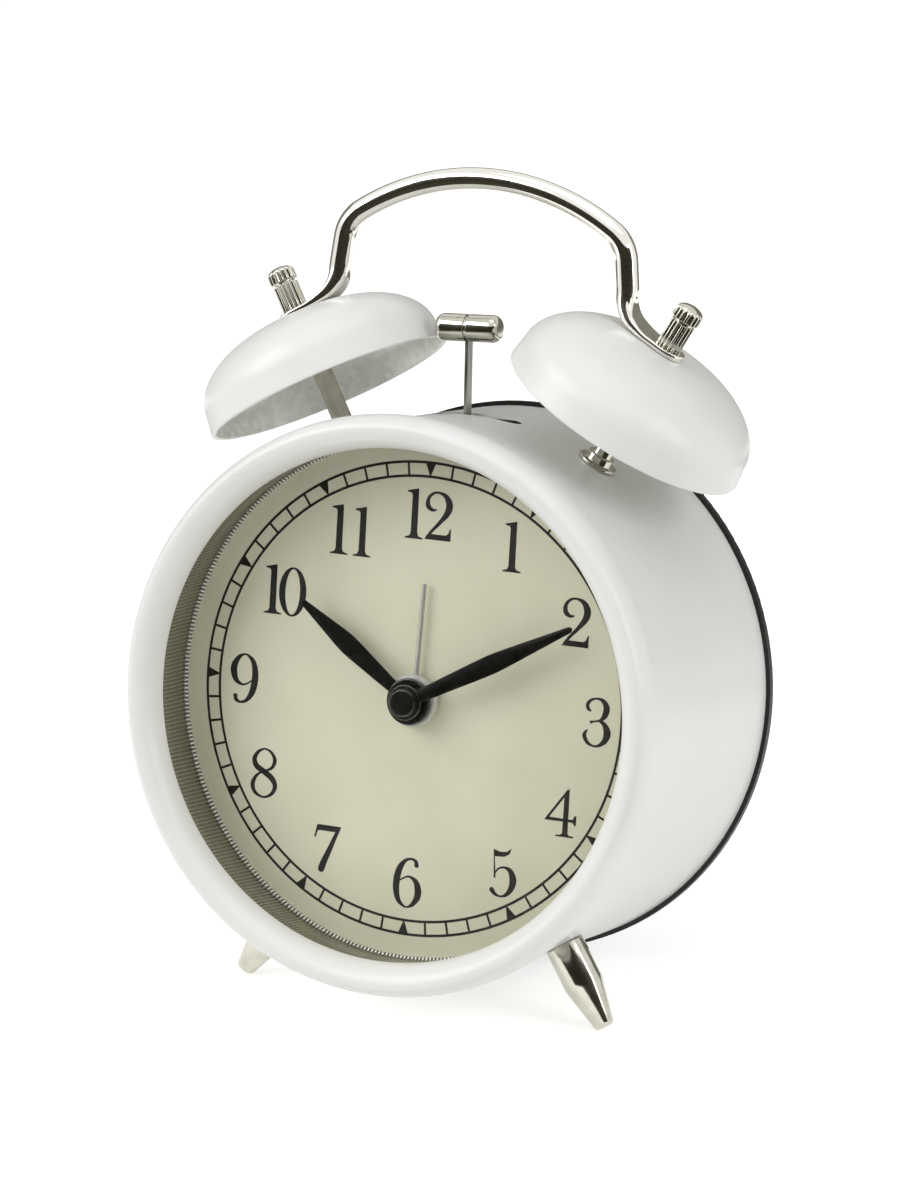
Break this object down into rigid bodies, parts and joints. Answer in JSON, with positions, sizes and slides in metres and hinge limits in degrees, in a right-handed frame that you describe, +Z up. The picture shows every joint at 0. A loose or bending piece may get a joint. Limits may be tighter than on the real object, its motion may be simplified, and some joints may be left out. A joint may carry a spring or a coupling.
{
  "type": "alarm clock",
  "caption": "Twin-bell alarm clock: white drum case on two feet, dial with hands, carry handle, hammer between the bells, quartz movement and battery bay inside.",
  "frame": {"origin": "centre of the clock's box, on the surface that it stands on", "axes": "+Z up, +Y from the dial towards the back, +X to the right as the dial is read"},
  "size_m": [0.0996, 0.072, 0.1418],
  "materials": {
    "white_paint": "satin white paint",
    "nickel": "polished nickel plate",
    "steel": "bright steel",
    "clear_glass": "clear",
    "grey_plastic": "fine ribbed",
    "dial_face": "matt print",
    "black_hand": "semi-gloss black",
    "grey_hand": "satin grey",
    "black_plastic": "fine texture",
    "white_plastic": "moulded",
    "brass": "bright",
    "board": "coated board",
    "copper": "enamelled wire",
    "iron": "bare",
    "cell_wrap": "plain sleeve"
  },
  "bodies": {
    "case": {"case_drum": "white_paint", "front_bezel": "white_paint", "lens": "clear_glass", "reflector_ring": "grey_plastic", "dial": "dial_face", "dial_carrier": "white_plastic", "movement_front_shell": "white_plastic", "movement_rear_shell": "white_plastic", "circuit_board": "board", "drive_coil": "copper", "stator": "iron", "back_cover": "black_plastic", "battery_cell": "cell_wrap", "negative_contact": "brass", "positive_contact": "brass", "left_bell": "white_paint", "right_bell": "white_paint", "left_bell_post": "nickel", "right_bell_post": "nickel", "left_finial": "nickel", "right_finial": "nickel", "carry_handle": "nickel", "hammer_pivot_pin": "steel", "motor_bracket": "steel", "bell_motor": "steel", "left_foot": "nickel", "right_foot": "nickel", "post_nuts": "steel", "foot_nuts": "steel", "cover_screws": "steel", "movement_screws": "steel", "bracket_screws": "steel"},
    "minute_set": {"minute_hand": "black_hand", "minute_arbor": "brass"},
    "hour_set": {"hour_hand": "black_hand", "hour_wheel": "brass"},
    "time_setting": {"time_knob": "black_plastic", "setting_arbor": "white_plastic"},
    "alarm_set": {"alarm_hand": "grey_hand", "alarm_wheel": "brass"},
    "alarm_setting": {"alarm_knob": "black_plastic", "alarm_arbor": "white_plastic"},
    "switch": {"alarm_switch": "black_plastic"},
    "door": {"battery_door": "black_plastic"},
    "hammer": {"hammer_lever": "white_plastic", "hammer_arm": "steel", "hammer_head": "nickel"},
    "eccentric": {"motor_eccentric": "steel"}
  },
  "joints": [
    {"name": "minute_turn", "type": "hinge", "parent": "case", "child": "minute_set", "pos_m": [0, -0.01185, 0.05481], "axis": [0, 0.9868, -0.1618], "continuous": true},
    {"name": "hour_turn", "type": "hinge", "parent": "case", "child": "hour_set", "pos_m": [0, -0.01185, 0.05481], "axis": [0, 0.9868, -0.1618], "continuous": true},
    {"name": "time_setting_turn", "type": "hinge", "parent": "case", "child": "time_setting", "pos_m": [0.00902, -0.01238, 0.05157], "axis": [0, 0.9868, -0.1618], "continuous": true},
    {"name": "alarm_turn", "type": "hinge", "parent": "case", "child": "alarm_set", "pos_m": [0, -0.01185, 0.05481], "axis": [0, 0.9868, -0.1618], "continuous": true},
    {"name": "alarm_setting_turn", "type": "hinge", "parent": "case", "child": "alarm_setting", "pos_m": [-0.01128, -0.01251, 0.05076], "axis": [0, 0.9868, -0.1618], "continuous": true},
    {"name": "alarm_switch_slide", "type": "slide", "parent": "case", "child": "switch", "axis": [1, 0, 0], "range_m": [0, 0.005]},
    {"name": "battery_door_lift", "type": "slide", "parent": "case", "child": "door", "axis": [0, 0.9868, -0.1618], "range_m": [0, 0.02]},
    {"name": "hammer_swing", "type": "hinge", "parent": "case", "child": "hammer", "pos_m": [0, 0.00619, 0.07211], "axis": [0, 0.9868, -0.1618], "range_deg": [0, 5.07]},
    {"name": "eccentric_turn", "type": "hinge", "parent": "case", "child": "eccentric", "pos_m": [0, 0.00829, 0.08494], "axis": [0, 0.9868, -0.1618], "range_deg": [0, 180]}
  ],
  "couplings": [
    {"joint": "hour_turn", "follows": "minute_turn", "ratio": 0.083333},
    {"joint": "time_setting_turn", "follows": "minute_turn", "ratio": -0.33333},
    {"joint": "alarm_setting_turn", "follows": "alarm_turn", "ratio": -2},
    {"joint": "eccentric_turn", "follows": "hammer_swing", "ratio": 35.518}
  ]
}
